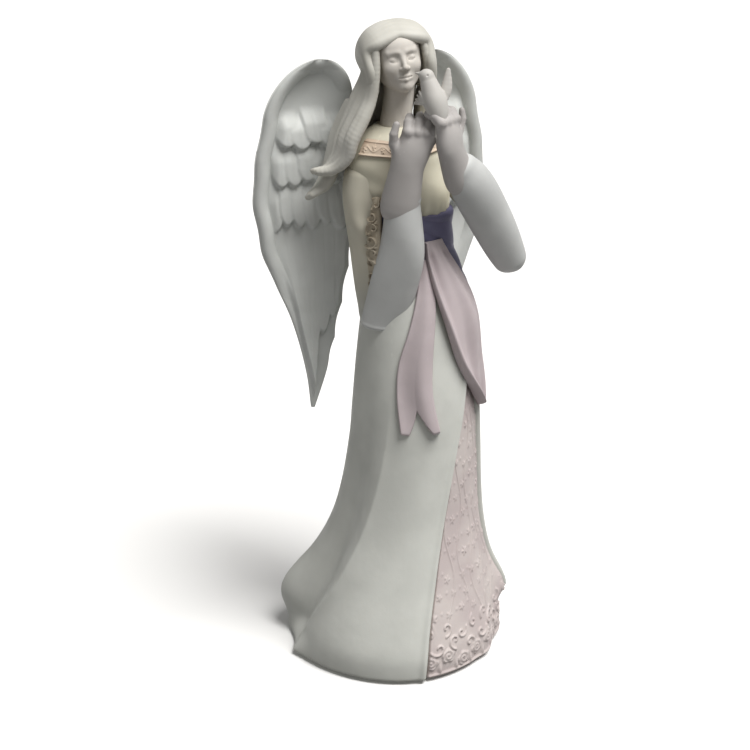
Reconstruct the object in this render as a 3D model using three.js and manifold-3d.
// Resin angel figurine: a robed angel holding a dove up to her face, cast in sections that are pegged and glued.
// Millimetres, +Z up. The figure faces -Y, so her right hand is on the -X side.
// Origin: on the surface the figurine stands on, at the centre of the round base.

import * as THREE from "three";
import { LoftGeometry } from "three/addons/geometries/LoftGeometry.js";
import { mergeVertices } from "three/addons/utils/BufferGeometryUtils.js";
import Module from "manifold-3d";

const wasm = await Module();
wasm.setup();

// ---- Driving sizes ----

const glueGap = 0.3; // between any two castings that meet
const feltThickness = 1.0;
const feltInset = 3; // hem edge to felt edge
const waistHeight = 172; // surface to the seam under the sash
const hemRadius = 45; // of the base where it meets the felt
const waistHalfWidth = 15.3;
const waistHalfDepth = 12.3;
const hipLean = new THREE.Vector2(6, -6); // how far the hips stand off the base's centre
const torsoHeight = 41; // waist seam to the base of the neck
const shoulderHalfWidth = 20;
const chestHalfDepth = 14.5;
const headHeight = 24; // chin to crown, without the hair
const hairThickness = 4.2; // over the skull
const panelThickness = 2.2; // underskirt panel set into the front of the skirt
const robeStep = 1.0; // how far the robe's open edges stand proud of the panel
const sashThickness = 1.8;
const sashRise = 16; // above the waist seam
const drapeThickness = 1.8;
const laceThickness = 0.9;
const wingThickness = 2.6;
const wingRimRadius = 2.9; // rolled leading edge
const wingTopAboveWaist = 70;
const wingTipBelowWaist = 71;
const wingSweepBack = 12; // degrees
const waistPegRadius = 6;
const neckPegRadius = 4;
const wingPegRadius = 2.2;
const shoulderPegRadius = 2.4;
const pegLength = 7;

// ---- Small tools ----

const degrees = Math.PI / 180;
const { lerp, smoothstep } = THREE.MathUtils;

// A point given from the waist seam up.
const fromWaist = (x, y, z) => new THREE.Vector3(x, y, waistHeight + z);

// A smooth curve through rows of [at, value, value, ...].
function track(rows) {
  const size = rows[0].length - 1;
  const curve = new THREE.CubicInterpolant(
    rows.map((row) => row[0]),
    rows.flatMap((row) => row.slice(1)),
    size,
  );
  return (at) => Array.from(curve.evaluate(at));
}

// A closed geometry as a solid that can be cut and joined.
function solid(geometry) {
  const bare = new THREE.BufferGeometry();
  bare.setAttribute("position", geometry.getAttribute("position"));
  bare.setIndex(geometry.index);
  const merged = mergeVertices(bare, 1e-4);
  return new wasm.Manifold(
    new wasm.Mesh({
      numProp: 3,
      vertProperties: merged.attributes.position.array,
      triVerts: new Uint32Array(merged.index.array),
    }),
  );
}

function geometryOf(body) {
  const mesh = body.getMesh();
  return new THREE.BufferGeometry()
    .setAttribute("position", new THREE.BufferAttribute(mesh.vertProperties, 3))
    .setIndex(new THREE.BufferAttribute(mesh.triVerts, 1));
}

// The largest connected piece, so that no loose crumb of a cut stays.
function mainPiece(body) {
  return body.decompose().reduce((a, b) => (a.volume() >= b.volume() ? a : b));
}

const cut = (body, ...tools) => mainPiece(tools.reduce((left, tool) => left.subtract(tool), body));
const join = (...bodies) => bodies.reduce((a, b) => a.add(b));

function ball(centre, halfX, halfY, halfZ, around, rows) {
  const geometry = new THREE.SphereGeometry(1, around, rows);
  geometry.scale(halfX, halfY, halfZ);
  geometry.translate(centre.x, centre.y, centre.z);
  return solid(geometry);
}

// A round peg from one point to another, or with `grow` the socket that takes it.
function peg(from, to, radius, grow = 0, around = 14) {
  const along = to.clone().sub(from);
  const length = along.length() + 2 * grow;
  const geometry = new THREE.CylinderGeometry(radius + grow, radius + grow, length, around);
  const turn = new THREE.Quaternion().setFromUnitVectors(new THREE.Vector3(0, 1, 0), along.normalize());
  geometry.applyQuaternion(turn);
  const middle = from.clone().lerp(to, 0.5);
  geometry.translate(middle.x, middle.y, middle.z);
  return solid(geometry);
}

function fingerJoint(from, to, radius) {
  const along = to.clone().sub(from);
  const geometry = new THREE.CapsuleGeometry(radius, along.length(), 2, 6, 1);
  geometry.translate(0, along.length() / 2, 0);
  const turn = new THREE.Quaternion().setFromUnitVectors(new THREE.Vector3(0, 1, 0), along.normalize());
  geometry.applyQuaternion(turn);
  geometry.translate(from.x, from.y, from.z);
  return solid(geometry);
}

// An oval section swept along a smooth path. Stops are [point, half width, half depth]; the width lies along `side`.
function sweep(stops, { side, rows = 12, around = 16, grow = 0 }) {
  const path = new THREE.CatmullRomCurve3(stops.map(([point]) => point));
  const sizes = new THREE.CatmullRomCurve3(stops.map(([, width, depth]) => new THREE.Vector3(width, depth, 0)));
  const sections = [];
  for (let row = 0; row <= rows; row++) {
    const t = row / rows;
    const centre = path.getPoint(t);
    const ahead = path.getTangent(t);
    const across = side.clone().addScaledVector(ahead, -side.dot(ahead)).normalize();
    const through = ahead.clone().cross(across);
    if (row === 0) centre.addScaledVector(ahead, -grow);
    if (row === rows) centre.addScaledVector(ahead, grow);
    const { x: width, y: depth } = sizes.getPoint(t);
    const ring = [];
    for (let step = 0; step < around; step++) {
      const turn = (step / around) * 2 * Math.PI;
      ring.push(
        centre
          .clone()
          .addScaledVector(across, (width + grow) * Math.cos(turn))
          .addScaledVector(through, (depth + grow) * Math.sin(turn)),
      );
    }
    sections.push(ring);
  }
  return solid(new LoftGeometry(sections, { capStart: true, capEnd: true }));
}

// ---- The body's surface ----

// [share of the waist height, share of the way from waist size to hem size, share of the hip lean]
const skirtProfile = track([
  [0, 0.99, 0],
  [0.06, 0.985, 0.02],
  [0.12, 0.9, 0.12],
  [0.23, 0.7, 0.42],
  [0.355, 0.51, 0.72],
  [0.54, 0.385, 1],
  [0.62, 0.36, 1.05],
  [0.755, 0.29, 1.03],
  [0.87, 0.2, 0.98],
  [1, 0, 0.75],
]);

// [share of the torso height, centre x, centre y, half width, half depth], with the two ends set by the driving sizes
const torsoProfile = track([
  [0, hipLean.x * 0.75, hipLean.y * 0.75, waistHalfWidth, waistHalfDepth],
  [0.2, 4, -4, waistHalfWidth, waistHalfDepth],
  [0.45, 3, -3, lerp(waistHalfWidth, shoulderHalfWidth, 0.4), lerp(waistHalfDepth, chestHalfDepth, 0.8)],
  [0.62, 1.8, -2, lerp(waistHalfWidth, shoulderHalfWidth, 0.8), chestHalfDepth],
  [0.8, 0.6, -1, shoulderHalfWidth, chestHalfDepth * 0.86],
  [0.91, 0, -0.6, shoulderHalfWidth * 0.82, chestHalfDepth * 0.74],
  [1, -0.5, 0, shoulderHalfWidth * 0.46, chestHalfDepth * 0.55],
]);

// Folds of the robe: [direction in degrees, half width in degrees, rise in mm at the hem]
const folds = [
  [-100, 26, 1.4],
  [-171, 13, -0.6],
  [173, 9, -3.6],
  [152, 12, 1.4],
  [120, 12, -2.4],
  [92, 12, 2.2],
  [62, 12, -2.6],
  [34, 12, 2],
  [6, 11, -1.6],
  [-24, 10, 1.8],
];

// Where the hem flares out above the base: [direction, half width, height above the surface, half height, rise in mm]
const hemLips = [
  [154, 22, 17, 10, 4.4],
  [-25, 12, 21, 8, 4.6],
];

const bell = (distance, halfWidth) => Math.exp(-((distance / halfWidth) ** 2));

function angleBetween(a, b) {
  return THREE.MathUtils.euclideanModulo(a - b + 180, 360) - 180;
}

function bodySection(z) {
  if (z >= waistHeight) {
    const [x, y, width, depth] = torsoProfile(Math.min((z - waistHeight) / torsoHeight, 1));
    return { x, y, width, depth };
  }
  const [size, lean] = skirtProfile(z / waistHeight);
  return {
    x: hipLean.x * lean,
    y: hipLean.y * lean,
    width: lerp(waistHalfWidth, hemRadius, size),
    depth: lerp(waistHalfDepth, hemRadius, size),
  };
}

// The point on the robe at a height and a direction in degrees, `out` mm off the surface.
function onBody(z, direction, out = 0) {
  const { x, y, width, depth } = bodySection(z);
  const cos = Math.cos(direction * degrees);
  const sin = Math.sin(direction * degrees);
  let radius = 1 / Math.hypot(cos / width, sin / depth);
  if (z < waistHeight) {
    const fullness = (1 - z / waistHeight) ** 1.6;
    for (const [at, halfWidth, rise] of folds) {
      radius += rise * fullness * bell(angleBetween(direction, at), halfWidth);
    }
    for (const [at, halfWidth, height, halfHeight, rise] of hemLips) {
      radius += rise * bell(angleBetween(direction, at), halfWidth) * bell(z - height, halfHeight);
    }
  }
  return new THREE.Vector3(x + (radius + out) * cos, y + (radius + out) * sin, z);
}

// The whole body between two heights as one solid, `out` mm off its surface.
function bodyBetween(low, high, rows, around, out = 0) {
  const sections = [];
  for (let row = 0; row <= rows; row++) {
    const z = lerp(low, high, row / rows);
    const ring = [];
    for (let step = 0; step < around; step++) {
      ring.push(onBody(z, (step / around) * 360, out));
    }
    sections.push(ring);
  }
  return solid(new LoftGeometry(sections, { capStart: true, capEnd: true }));
}

// A patch that follows the body. Edges are rows of [z, left direction, right direction] from low to high.
// `trim` draws the side edges in by that many mm.
function patch(edges, inner, outer, { rows = 14, columns = 8, trim = 0, low = edges[0][0] } = {}) {
  const edgesAt = track(edges);
  const high = edges[edges.length - 1][0] - trim;
  const sections = [];
  for (let row = 0; row <= rows; row++) {
    const z = lerp(low, high, row / rows);
    const [left, right] = edgesAt(z);
    const drawIn = (trim / onBody(z, left).setZ(0).length()) / degrees;
    const arc = (out) =>
      Array.from({ length: columns + 1 }, (_, step) =>
        onBody(z, lerp(left + drawIn, right - drawIn, step / columns), out),
      );
    sections.push([...arc(outer), ...arc(inner).reverse()]);
  }
  return solid(new LoftGeometry(sections, { capStart: true, capEnd: true }));
}

// ---- Materials ----

const finish = (color, roughness) => new THREE.MeshStandardMaterial({ color, roughness, metalness: 0 });
const bisqueWhite = finish(0xcfd2cb, 0.62);
const creamPaint = finish(0xd6cfb4, 0.6);
const pinkPaint = finish(0xc9b6b8, 0.62);
const lilacPaint = finish(0xbfb3ba, 0.6);
const violetPaint = finish(0x6a6884, 0.55);
const goldLacePaint = finish(0xb0a284, 0.55);
const hairPaint = finish(0xc9c7b8, 0.62);
const skinPaint = finish(0xd8cec6, 0.58);
const feltGreen = finish(0xa8aaa4, 0.95);

const figurine = new THREE.Group();

function piece(name, body, material) {
  const mesh = new THREE.Mesh(geometryOf(body), material);
  mesh.name = name;
  figurine.add(mesh);
  return body;
}

// ---- Skirt, underskirt panel and felt ----

// The robe's front opening: [height, direction of its right edge, direction of its left edge]
const openingTop = waistHeight * 0.66;
const opening = [
  [0, -94, -22],
  [waistHeight * 0.13, -91, -26],
  [waistHeight * 0.3, -86, -36],
  [waistHeight * 0.54, -76, -47],
  [openingTop, -69, -54],
];

const waistMiddle = { x: hipLean.x * 0.75, y: hipLean.y * 0.75 };
const waistPeg = (grow = 0) =>
  peg(
    fromWaist(waistMiddle.x, waistMiddle.y, -pegLength),
    fromWaist(waistMiddle.x, waistMiddle.y, 1),
    waistPegRadius,
    grow,
    20,
  );
const hemHeight = feltThickness + 0.2;
const skirtForm = (out = 0) => bodyBetween(hemHeight, waistHeight - glueGap / 2, 20, 44, out);
const torsoForm = (out = 0) => bodyBetween(waistHeight + glueGap / 2, waistHeight + torsoHeight, 12, 28, out);

function skirt() {
  const body = skirtForm();
  const pocket = patch(opening, -robeStep - panelThickness - glueGap, 6, { rows: 18, low: hemHeight - 1 });
  return cut(body, pocket, waistPeg(glueGap));
}

function lacePanel() {
  return patch(opening, -robeStep - panelThickness, -robeStep, { rows: 18, trim: glueGap, low: hemHeight });
}

function feltPad() {
  const round = new THREE.CylinderGeometry(hemRadius - feltInset, hemRadius - feltInset, feltThickness, 40);
  round.rotateX(Math.PI / 2);
  round.translate(0, 0, feltThickness / 2);
  return solid(round);
}

piece("skirt", skirt(), bisqueWhite);
piece("lace_panel", lacePanel(), pinkPaint);
piece("felt_pad", feltPad(), feltGreen);

// ---- Arms: [point, half width, half depth] from the shoulder down, and from the wrist to the hanging end ----

const shoulderHeight = torsoHeight * 0.75;
const shoulderOut = shoulderHalfWidth * 0.78;

const upperArm = {
  right: [
    [fromWaist(-shoulderOut, 2.5, shoulderHeight), 6.6, 5.4],
    [fromWaist(-shoulderOut, 0.5, 18), 7.4, 5.8],
    [fromWaist(-14.5, -2.5, 2), 8.2, 5.4],
    [fromWaist(-14.5, -4, -14), 8.4, 4.6],
    [fromWaist(-15, -3, -25), 6.8, 3.2],
    [fromWaist(-15.5, -0.5, -31), 3.4, 1.6],
  ],
  left: [
    [fromWaist(shoulderOut, 1, shoulderHeight), 6, 5.6],
    [fromWaist(23, -3, 25), 6, 6],
    [fromWaist(30, -9, 16), 5.2, 5.4],
    [fromWaist(36, -14, 8), 4.2, 4.6],
  ],
};
const armSide = new THREE.Vector3(0, 1, 0);

const bellSleeve = {
  right: [
    [fromWaist(-9.8, -21.5, 27), 6.8, 6],
    [fromWaist(-8, -21.5, 16), 8.2, 6.6],
    [fromWaist(-7.5, -20, 0), 9.4, 6.2],
    [fromWaist(-9, -18.5, -15), 9, 5.2],
    [fromWaist(-10.5, -16.5, -25), 6.6, 3.4],
    [fromWaist(-11.4, -15.4, -30), 3, 1.6],
  ],
  left: [
    [fromWaist(11, -30.5, 37), 5, 4.6],
    [fromWaist(16, -29, 32), 7.4, 6],
    [fromWaist(25, -26, 20), 8.6, 6.6],
    [fromWaist(34, -22.5, 8), 8.8, 6.2],
    [fromWaist(41, -20, -3), 7.8, 5],
    [fromWaist(44, -19, -8), 4.6, 2.8],
  ],
};
const sleeveSide = { right: new THREE.Vector3(0.25, -0.97, 0), left: new THREE.Vector3(0.62, 0.05, 0.78) };

// Middle line of the lace edging on each sleeve, and the way its width runs.
const cuffLace = {
  right: [
    [fromWaist(-14.6, -14.5, 26), 2, laceThickness],
    [fromWaist(-16.8, -12.5, 13), 2.8, laceThickness],
    [fromWaist(-16.6, -13.5, 0), 3, laceThickness],
    [fromWaist(-16.2, -13, -12), 2.6, laceThickness],
    [fromWaist(-16, -10.5, -22), 1.8, laceThickness],
  ],
  left: [
    [fromWaist(21.5, -25.5, 36.5), 2.2, laceThickness],
    [fromWaist(31.5, -21.5, 26), 2.6, laceThickness],
    [fromWaist(40.5, -18, 13), 2.6, laceThickness],
    [fromWaist(46.6, -16.5, 2), 2, laceThickness],
  ],
};
const laceSide = { right: new THREE.Vector3(0.45, -0.9, 0), left: new THREE.Vector3(0.1, 1, 0.1) };

const armSweep = (side, grow = 0) => sweep(upperArm[side], { side: armSide, rows: 11, around: 14, grow });
const bellSweep = (side, grow = 0) => sweep(bellSleeve[side], { side: sleeveSide[side], rows: 12, around: 18, grow });
const laceSweep = (side) => sweep(cuffLace[side], { side: laceSide[side], rows: 10, around: 8 });

// ---- Hands: a palm and fingers laid out from the wrist ----

// along: wrist to knuckles; inward: the way the palm faces; thumbward: across the palm towards the thumb.
const handFrames = {
  right: {
    forearm: fromWaist(-10.5, -19.5, 19),
    wrist: fromWaist(-8.2, -26.5, 43),
    along: new THREE.Vector3(0.32, -0.16, 0.93),
    inward: new THREE.Vector3(0.3, 0.95, 0.06),
    thumbward: new THREE.Vector3(-0.9, 0.26, 0.35),
  },
  left: {
    forearm: fromWaist(14, -28, 30),
    wrist: fromWaist(6.8, -32.5, 46),
    along: new THREE.Vector3(-0.03, 0.02, 1),
    inward: new THREE.Vector3(-0.45, 0.89, 0),
    thumbward: new THREE.Vector3(0.89, 0.45, 0.03),
  },
};
const palmLength = 10;
const palmHalfWidth = 5;
const palmHalfDepth = 3.2;
const wristRadius = 4.2;
const fingerRadius = 1.45;
const fingerBones = [5, 4.2]; // knuckle to middle joint, middle joint to tip
const thumbBones = [4.5, 4];

function handPoint(frame, along, inward, thumbward) {
  return frame.wrist
    .clone()
    .addScaledVector(frame.along, along)
    .addScaledVector(frame.inward, inward)
    .addScaledVector(frame.thumbward, thumbward);
}

function hand(side, grow = 0) {
  const frame = handFrames[side];
  const palm = sweep(
    [
      [frame.forearm, wristRadius * 1.1, wristRadius],
      [frame.wrist, wristRadius, wristRadius * 0.8],
      [handPoint(frame, palmLength * 0.5, 0.2, 0), palmHalfWidth, palmHalfDepth],
      [handPoint(frame, palmLength, 0.6, 0), palmHalfWidth, palmHalfDepth * 0.8],
    ],
    { side: frame.thumbward, rows: 7, around: 12, grow },
  );
  const joints = [];
  const bent = palmLength + fingerBones[0] * 0.8;
  for (let finger = 0; finger < 4; finger++) {
    const across = lerp(-1, 1, finger / 3) * (palmHalfWidth - fingerRadius);
    const knuckle = handPoint(frame, palmLength - 0.5, 0.4, across);
    const middle = handPoint(frame, bent, fingerBones[0] * 0.6, across * 1.15);
    const tip = handPoint(frame, bent + fingerBones[1] * 0.1, fingerBones[0] * 0.6 + fingerBones[1], across * 1.1);
    joints.push(fingerJoint(knuckle, middle, fingerRadius + grow));
    joints.push(fingerJoint(middle, tip, fingerRadius * 0.9 + grow));
  }
  const low = palmLength * 0.35;
  const thumbRoot = handPoint(frame, low, 1, palmHalfWidth - 1);
  const thumbKnuckle = handPoint(frame, low + thumbBones[0] * 0.7, 2, palmHalfWidth + 1.6);
  const thumbTip = handPoint(frame, low + thumbBones[0] * 0.7 + thumbBones[1], 2.2, palmHalfWidth + 2.2);
  joints.push(fingerJoint(thumbRoot, thumbKnuckle, fingerRadius * 1.2 + grow));
  joints.push(fingerJoint(thumbKnuckle, thumbTip, fingerRadius + grow));
  return join(palm, ...joints);
}

const handsGrown = { right: hand("right", glueGap), left: hand("left", glueGap) };

// ---- Head and hair, laid out round the head's centre ----

const headCentre = fromWaist(-1, -2.5, torsoHeight + 33);
const headHalf = { x: headHeight * 0.41, y: headHeight * 0.45, z: headHeight * 0.5 };
// Chin up a little, crown tilted towards her right shoulder, face turned a little towards her right.
const headTurn = new THREE.Euler(-8 * degrees, -6 * degrees, -9 * degrees);
const fromHead = (x, y, z) => new THREE.Vector3(x, y, z).applyEuler(headTurn).add(headCentre);
const acrossFace = new THREE.Vector3(1, 0, 0).applyEuler(headTurn);

function headBall(x, y, z, halfX, halfY, halfZ, around, rows) {
  const geometry = new THREE.SphereGeometry(1, around, rows);
  geometry.rotateX(Math.PI / 2);
  geometry.scale(halfX, halfY, halfZ);
  geometry.translate(x, y, z);
  geometry.applyQuaternion(new THREE.Quaternion().setFromEuler(headTurn));
  geometry.translate(headCentre.x, headCentre.y, headCentre.z);
  return solid(geometry);
}

const neckBase = fromWaist(-0.5, 0.5, torsoHeight);

function head(grow = 0) {
  const { x, y, z } = headHalf;
  const skull = headBall(0, 1.4, 1.8, x + grow, y - 0.8 + grow, z - 1.8 + grow, 18, 12);
  const face = headBall(0, -2.2, -2, x * 0.86 + grow, y * 0.74 + grow, z * 0.84 + grow, 18, 12);
  const chin = headBall(0, -5.2, -z + 2, 3.4 + grow, 3.4 + grow, 2.6 + grow, 12, 8);
  const nose = sweep(
    [
      [fromHead(0, -8, 2.2), 0.9, 0.6],
      [fromHead(0, -10.2, -1.4), 1.1, 1],
      [fromHead(0, -9.9, -3.2), 1.4, 1],
    ],
    { side: acrossFace, rows: 4, around: 8, grow },
  );
  const neck = sweep(
    [
      [neckBase.clone().setZ(neckBase.z - 1), 6, 5.6],
      [neckBase.clone().add(new THREE.Vector3(-0.2, -0.6, 7)), 5, 5],
      [fromHead(0, 1, -6), 5.2, 5.6],
    ],
    { side: acrossFace, rows: 6, around: 16, grow },
  );
  return join(skull, face, chin, nose, neck);
}

const hairShell = (grow = 0) =>
  headBall(
    -0.6,
    1.8,
    1.6,
    headHalf.x + hairThickness + grow,
    headHalf.y + hairThickness * 0.8 + grow,
    headHalf.z + hairThickness * 0.5 - 1.4 + grow,
    22,
    14,
  );

function hairCap() {
  const faceWindow = headBall(0, -12, -5, 10.6, 10.5, 15, 20, 12);
  const backFall = sweep(
    [
      [fromHead(0, 5, 6), 10, 6],
      [fromHead(0, 8, -6), 12, 4.8],
      [fromWaist(-0.5, 11.5, 52), 12, 4.2],
      [fromWaist(0, 16, 38), 8.6, 3],
      [fromWaist(0.4, 18, 24), 6.4, 2.4],
      [fromWaist(1, 18, 12), 3, 1.2],
    ],
    { side: acrossFace, rows: 12, around: 14 },
  );
  return join(hairShell().subtract(faceWindow), backFall);
}

// The long lock that falls in front of her right shoulder and flicks outwards.
const rightLock = (grow = 0) => sweep(
  [
    [fromHead(-9.4, -3.5, 5), 2.6, 2.4],
    [fromHead(-11.4, -3, -4), 4.4, 3],
    [fromWaist(-13, -4.5, 57), 6, 3.6],
    [fromWaist(-15, -4.5, 47), 7.4, 3.6],
    [fromWaist(-18.5, -1, 38), 6, 3.2],
    [fromWaist(-24, 5, 31), 3.4, 2.2],
    [fromWaist(-29, 9.5, 29), 1.2, 0.9],
  ],
  { side: new THREE.Vector3(0.8, -0.55, 0.25), rows: 16, around: 12, grow },
);

// The lock on her left falls behind the shoulder.
const leftLock = (grow = 0) => sweep(
  [
    [fromHead(9.4, -2, 5), 2.4, 2.2],
    [fromHead(11, -1, -4), 3.4, 2.8],
    [fromWaist(11.5, 1, 57), 4, 3.2],
    [fromWaist(13, 5, 46), 4.2, 3],
    [fromWaist(14.5, 9, 36), 3.2, 2.4],
    [fromWaist(14.5, 12, 28), 1.2, 1],
  ],
  { side: new THREE.Vector3(0.8, -0.5, 0), rows: 14, around: 12, grow },
);

// ---- Wings: a cupped blade between an inner and an outer edge, with a rolled leading edge ----

const wingReach = 51; // middle plane to the outermost edge
const wingShoulder = 0.84; // share of the height where the round top begins
const wingTopNarrowing = 0.97;
const wingTopShift = 0.105; // how far the top leans inwards, as a share of the reach

// [share of the way from the tip to the top, inner edge, outer edge], both as shares of the reach.
const wingSides = track([
  [0, 0.54, 0.57],
  [0.1, 0.45, 0.6],
  [0.26, 0.345, 0.705],
  [0.47, 0.24, 0.925],
  [0.66, 0.205, 0.985],
  [wingShoulder, 0.23, 0.87],
]);

// Distances of the inner and outer edge from the middle plane; above the shoulder they close in an elliptical arc.
function wingEdges(share) {
  const [inner, outer] = wingSides(Math.min(share, wingShoulder));
  const t = THREE.MathUtils.clamp((share - wingShoulder) / (1 - wingShoulder), 0, 1);
  const middle = (inner + outer) / 2 - wingTopShift * t ** 1.2;
  const half = ((outer - inner) / 2) * Math.sqrt(1 - wingTopNarrowing * t * t);
  return [(middle - half) * wingReach, (middle + half) * wingReach];
}
const wingSpan = wingTipBelowWaist + wingTopAboveWaist;
const wingRootY = 14;
const wingCup = 3.2; // how far the middle of the blade sits behind its edges

// A point of a wing at a share of its height and a distance from the middle plane, `out` mm in front of the blade.
function onWing(share, distance, out = 0) {
  const [inner, outer] = wingEdges(share);
  const across = THREE.MathUtils.clamp((distance - inner) / (outer - inner), 0, 1);
  const cup = wingCup * Math.sin(Math.PI * across) * Math.min(1, (outer - inner) / 20);
  const y = wingRootY + Math.tan(wingSweepBack * degrees) * (distance - 6) + cup;
  return fromWaist(distance, y - out, share * wingSpan - wingTipBelowWaist);
}

function wingBlade(grow) {
  const rows = 17;
  const columns = 7;
  const sections = [];
  for (let row = 0; row <= rows; row++) {
    const share = row / rows;
    const [inner, outer] = wingEdges(share);
    const face = (out) =>
      Array.from({ length: columns + 1 }, (_, step) => {
        const edge = Math.sqrt(Math.max(0.12, Math.sin((Math.PI * step) / columns)));
        return onWing(share, lerp(inner - grow, outer + grow, step / columns), out * edge + Math.sign(out) * grow);
      });
    sections.push([...face(wingThickness / 2), ...face(-wingThickness / 2).reverse()]);
  }
  return solid(new LoftGeometry(sections, { capStart: true, capEnd: true }));
}

function wingRim(grow) {
  const thick = wingRimRadius + grow;
  const stops = [0.1, 0.2, 0.32, 0.46, 0.6, 0.73, 0.85, 0.93, 0.975].map((share) => {
    const [, outer] = wingEdges(share);
    const full = lerp(0.5, 1, smoothstep(share, 0.05, 0.5));
    return [onWing(share, outer - wingRimRadius * 0.7, 0.6), thick * full, thick * full];
  });
  stops.push([onWing(0.99, lerp(...wingEdges(0.99), 0.5), 0.6), thick, thick]);
  stops.push([onWing(0.97, wingEdges(0.97)[0] + wingRimRadius * 1.2, 0.6), thick * 0.9, thick * 0.9]);
  stops.push([onWing(0.92, wingEdges(0.92)[0] + wingRimRadius, 0.4), thick * 0.6, thick * 0.6]);
  return sweep(stops, { side: armSide, rows: 20, around: 8 });
}

const wingPegs = [0.2, 0.7].map((share) => {
  const height = lerp(sashRise, torsoHeight, share);
  return [fromWaist(7.5, 3, height), fromWaist(12.4, 16, height)];
});
const wingPegBodies = (grow = 0) =>
  join(...wingPegs.map(([from, to]) => peg(from, to, wingPegRadius, grow)));
// The swelling where a wing grows out of the back.
function wingRoot(grow) {
  const height = (torsoHeight + sashRise) / 2 + 1;
  return ball(fromWaist(10, 11.5, height), 4.6 + grow, 6 + grow, (torsoHeight - sashRise) / 2 + grow, 12, 8);
}
const wing = (grow = 0) => join(wingBlade(grow), wingRim(grow), wingRoot(grow));
const mirrored = (body) => body.mirror([1, 0, 0]);
const leftWingGrown = wing(glueGap).add(wingPegBodies(glueGap));
const wingsGrown = { left: leftWingGrown, right: mirrored(leftWingGrown) };

// ---- Torso ----

const torsoGrown = torsoForm(glueGap);
const bodyGrown = join(torsoGrown, torsoGrown.translate(0, 0, glueGap), skirtForm(glueGap));
const neckPegTop = neckBase.clone().setZ(neckBase.z + 1);
const neckPegFoot = neckBase.clone().setZ(neckBase.z - pegLength);
const neckPeg = (grow = 0) => peg(neckPegFoot, neckPegTop, neckPegRadius, grow, 18);

// Pegs that hold the upper sleeves: [inside the torso, inside the sleeve]
const shoulderPegs = {
  right: [
    fromWaist(-shoulderOut * 0.5, -2, torsoHeight * 0.56),
    fromWaist(-shoulderOut * 1.12, -0.8, torsoHeight * 0.56),
  ],
  left: [
    fromWaist(shoulderOut * 0.65, 1, torsoHeight * 0.68),
    fromWaist(shoulderOut * 1.55, -2.8, torsoHeight * 0.6),
  ],
};

const shoulderPeg = (side, grow = 0) => peg(...shoulderPegs[side], shoulderPegRadius, grow);

function bodice() {
  const shaped = cut(
    torsoForm(),
    neckPeg(glueGap),
    wingsGrown.left,
    wingsGrown.right,
    shoulderPeg("right", glueGap),
    shoulderPeg("left", glueGap),
  );
  return join(shaped, waistPeg());
}

piece("bodice", bodice(), creamPaint);

// The sash goes round the waist and dips over her left hip.
const sashClear = glueGap + 0.2; // it spans the seam, where the robe's surface bends
function waistSash() {
  const rows = 5;
  const around = 36;
  const lowEdge = (direction) => -1 - 20 * bell(angleBetween(direction, -12), 55);
  const wall = (out, overrun) => {
    const sections = [];
    for (let row = 0; row <= rows; row++) {
      sections.push(
        Array.from({ length: around }, (_, step) => {
          const direction = (step / around) * 360;
          const past = row === rows ? overrun : row === 0 ? -overrun : 0;
          return onBody(waistHeight + lerp(lowEdge(direction), sashRise, row / rows) + past, direction, out);
        }),
      );
    }
    return solid(new LoftGeometry(sections, { capStart: true, capEnd: true }));
  };
  return cut(wall(sashClear + sashThickness, 0), wall(sashClear, 1), skirtForm(glueGap));
}

// ---- Drape and ribbon that fall from the sash: [height from the waist, right edge, left edge] ----

const raise = (rows) => rows.map(([z, ...edges]) => [waistHeight + z, ...edges]);
const overSash = sashClear + sashThickness + glueGap + 0.2;

const drapeEdges = raise([
  [-64, -36, -26],
  [-58, -48, -22],
  [-46, -66, -24],
  [-36, -76, -28],
  [-26, -83, -36],
  [-12, -88, -52],
  [4, -90, -70],
]);

const ribbonEdges = raise([
  [-70, -128, -92],
  [-54, -132, -98],
  [-42, -130, -100],
  [-30, -121, -100],
  [-16, -104, -94],
]);
const ribbonNotch = { direction: -110, halfWidth: 4, depth: 12 };

const drapeGrown = patch(drapeEdges, -1, overSash + drapeThickness + glueGap, { rows: 12 });

// A wedge that forks the ribbon's end.
function ribbonFork() {
  const [low] = ribbonEdges[0];
  const { direction, halfWidth, depth } = ribbonNotch;
  const end = onBody(low, direction);
  const notch = new THREE.Shape([
    new THREE.Vector2(-halfWidth, -2),
    new THREE.Vector2(halfWidth, -2),
    new THREE.Vector2(0, depth),
  ]);
  const wedge = new THREE.ExtrudeGeometry(notch, { depth: 24, bevelEnabled: false });
  wedge.translate(0, 0, -12);
  wedge.rotateX(Math.PI / 2);
  wedge.rotateZ((direction + 90) * degrees);
  wedge.translate(end.x, end.y, end.z);
  return solid(wedge);
}

function sashRibbon() {
  const tail = patch(ribbonEdges, glueGap, glueGap + drapeThickness, { rows: 12, columns: 6 });
  return cut(tail, ribbonFork(), drapeGrown);
}

piece("waist_sash", waistSash(), violetPaint);
piece("sash_drape", patch(drapeEdges, overSash, overSash + drapeThickness, { rows: 14 }), lilacPaint);
piece("sash_ribbon", sashRibbon(), lilacPaint);

// ---- Sleeves, lace and hands in place ----

const sashGrown = bodyBetween(waistHeight - 24, waistHeight + sashRise + glueGap, 8, 36, overSash).add(drapeGrown);
const armsGrown = { right: armSweep("right", glueGap), left: armSweep("left", glueGap) };

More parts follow.
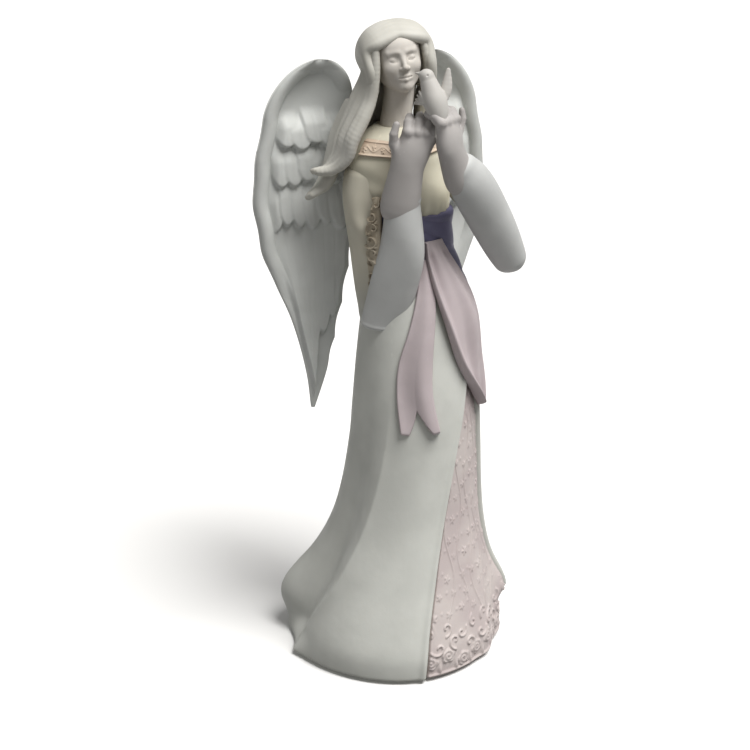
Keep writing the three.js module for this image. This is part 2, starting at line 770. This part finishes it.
for (const side of ["right", "left"]) {
  const upper = join(cut(armSweep(side), bodyGrown, sashGrown, wingsGrown[side]), shoulderPeg(side));
  const bellShape = cut(bellSweep(side), armsGrown[side], handsGrown[side], sashGrown, bodyGrown);
  const lace = cut(laceSweep(side), bellSweep(side, glueGap), armsGrown[side], bodyGrown);
  piece(`${side}_upper_sleeve`, upper, creamPaint);
  piece(`${side}_bell_sleeve`, bellShape, bisqueWhite);
  piece(`${side}_cuff_lace`, lace, goldLacePaint);
}
piece("right_hand", hand("right"), skinPaint);
piece("left_hand", cut(hand("left"), handsGrown.right), skinPaint);

// ---- Dove ----

function dove() {
  const body = sweep(
    [
      [fromWaist(3, -32.5, 54), 1.6, 0.8],
      [fromWaist(2.4, -31.4, 58.5), 2.8, 2.4],
      [fromWaist(1.4, -29.8, 64), 3.2, 3.1],
      [fromWaist(0.4, -28, 68), 2.4, 2.4],
      [fromWaist(-0.2, -26.6, 70.8), 2.3, 2.3],
      [fromWaist(-0.4, -25.4, 72.2), 1, 1],
    ],
    { side: new THREE.Vector3(1, 0, 0), rows: 10, around: 12 },
  );
  const beak = sweep(
    [
      [fromWaist(-0.3, -25.8, 71), 0.8, 0.7],
      [fromWaist(-0.6, -23.4, 70.6), 0.3, 0.25],
    ],
    { side: new THREE.Vector3(1, 0, 0), rows: 2, around: 8 },
  );
  const wingOf = (outward) =>
    sweep(
      [
        [fromWaist(1.2 + outward * 2.2, -29.8, 62), 1.6, 1],
        [fromWaist(2 + outward * 3.2, -29.2, 66), 2.6, 1],
        [fromWaist(2.4 + outward * 4, -28.6, 70), 2, 0.8],
        [fromWaist(3 + outward * 4.4, -28.2, 73.5), 0.6, 0.4],
      ],
      { side: new THREE.Vector3(0.3, 1, 0), rows: 6, around: 8 },
    );
  return cut(join(body, beak, wingOf(1), wingOf(-1)), handsGrown.right, handsGrown.left);
}

piece("dove", dove(), bisqueWhite);

// ---- Head, hair, neckline and wings in place ----

piece("head", join(cut(head(), bodyGrown), neckPeg()), skinPaint);

const hairBounds = [head(glueGap), bodyGrown, armsGrown.right, armsGrown.left];
piece("hair", cut(hairCap(), ...hairBounds, wingsGrown.left, wingsGrown.right), hairPaint);
piece("right_hair_lock", cut(rightLock(), hairShell(glueGap), ...hairBounds, wingsGrown.right), hairPaint);
piece("left_hair_lock", cut(leftLock(), hairShell(glueGap), ...hairBounds, wingsGrown.left), hairPaint);

const necklineEdges = [0.83, 0.89, 0.95].map((share) => [waistHeight + torsoHeight * share, -165, -15]);
const neckline = patch(necklineEdges, glueGap, glueGap + laceThickness, { rows: 4, columns: 14 });
piece("neckline_lace", cut(neckline, armsGrown.right, armsGrown.left, rightLock(glueGap), leftLock(glueGap)), pinkPaint);

// Each wing is one casting with two pegs that go into the back of the bodice.
const bladeClear = cut(wing(), bodyGrown);
const leftWing = join(bladeClear, wingPegBodies());
piece("left_wing", leftWing, bisqueWhite);
piece("right_wing", mirrored(leftWing), bisqueWhite);

export default figurine;
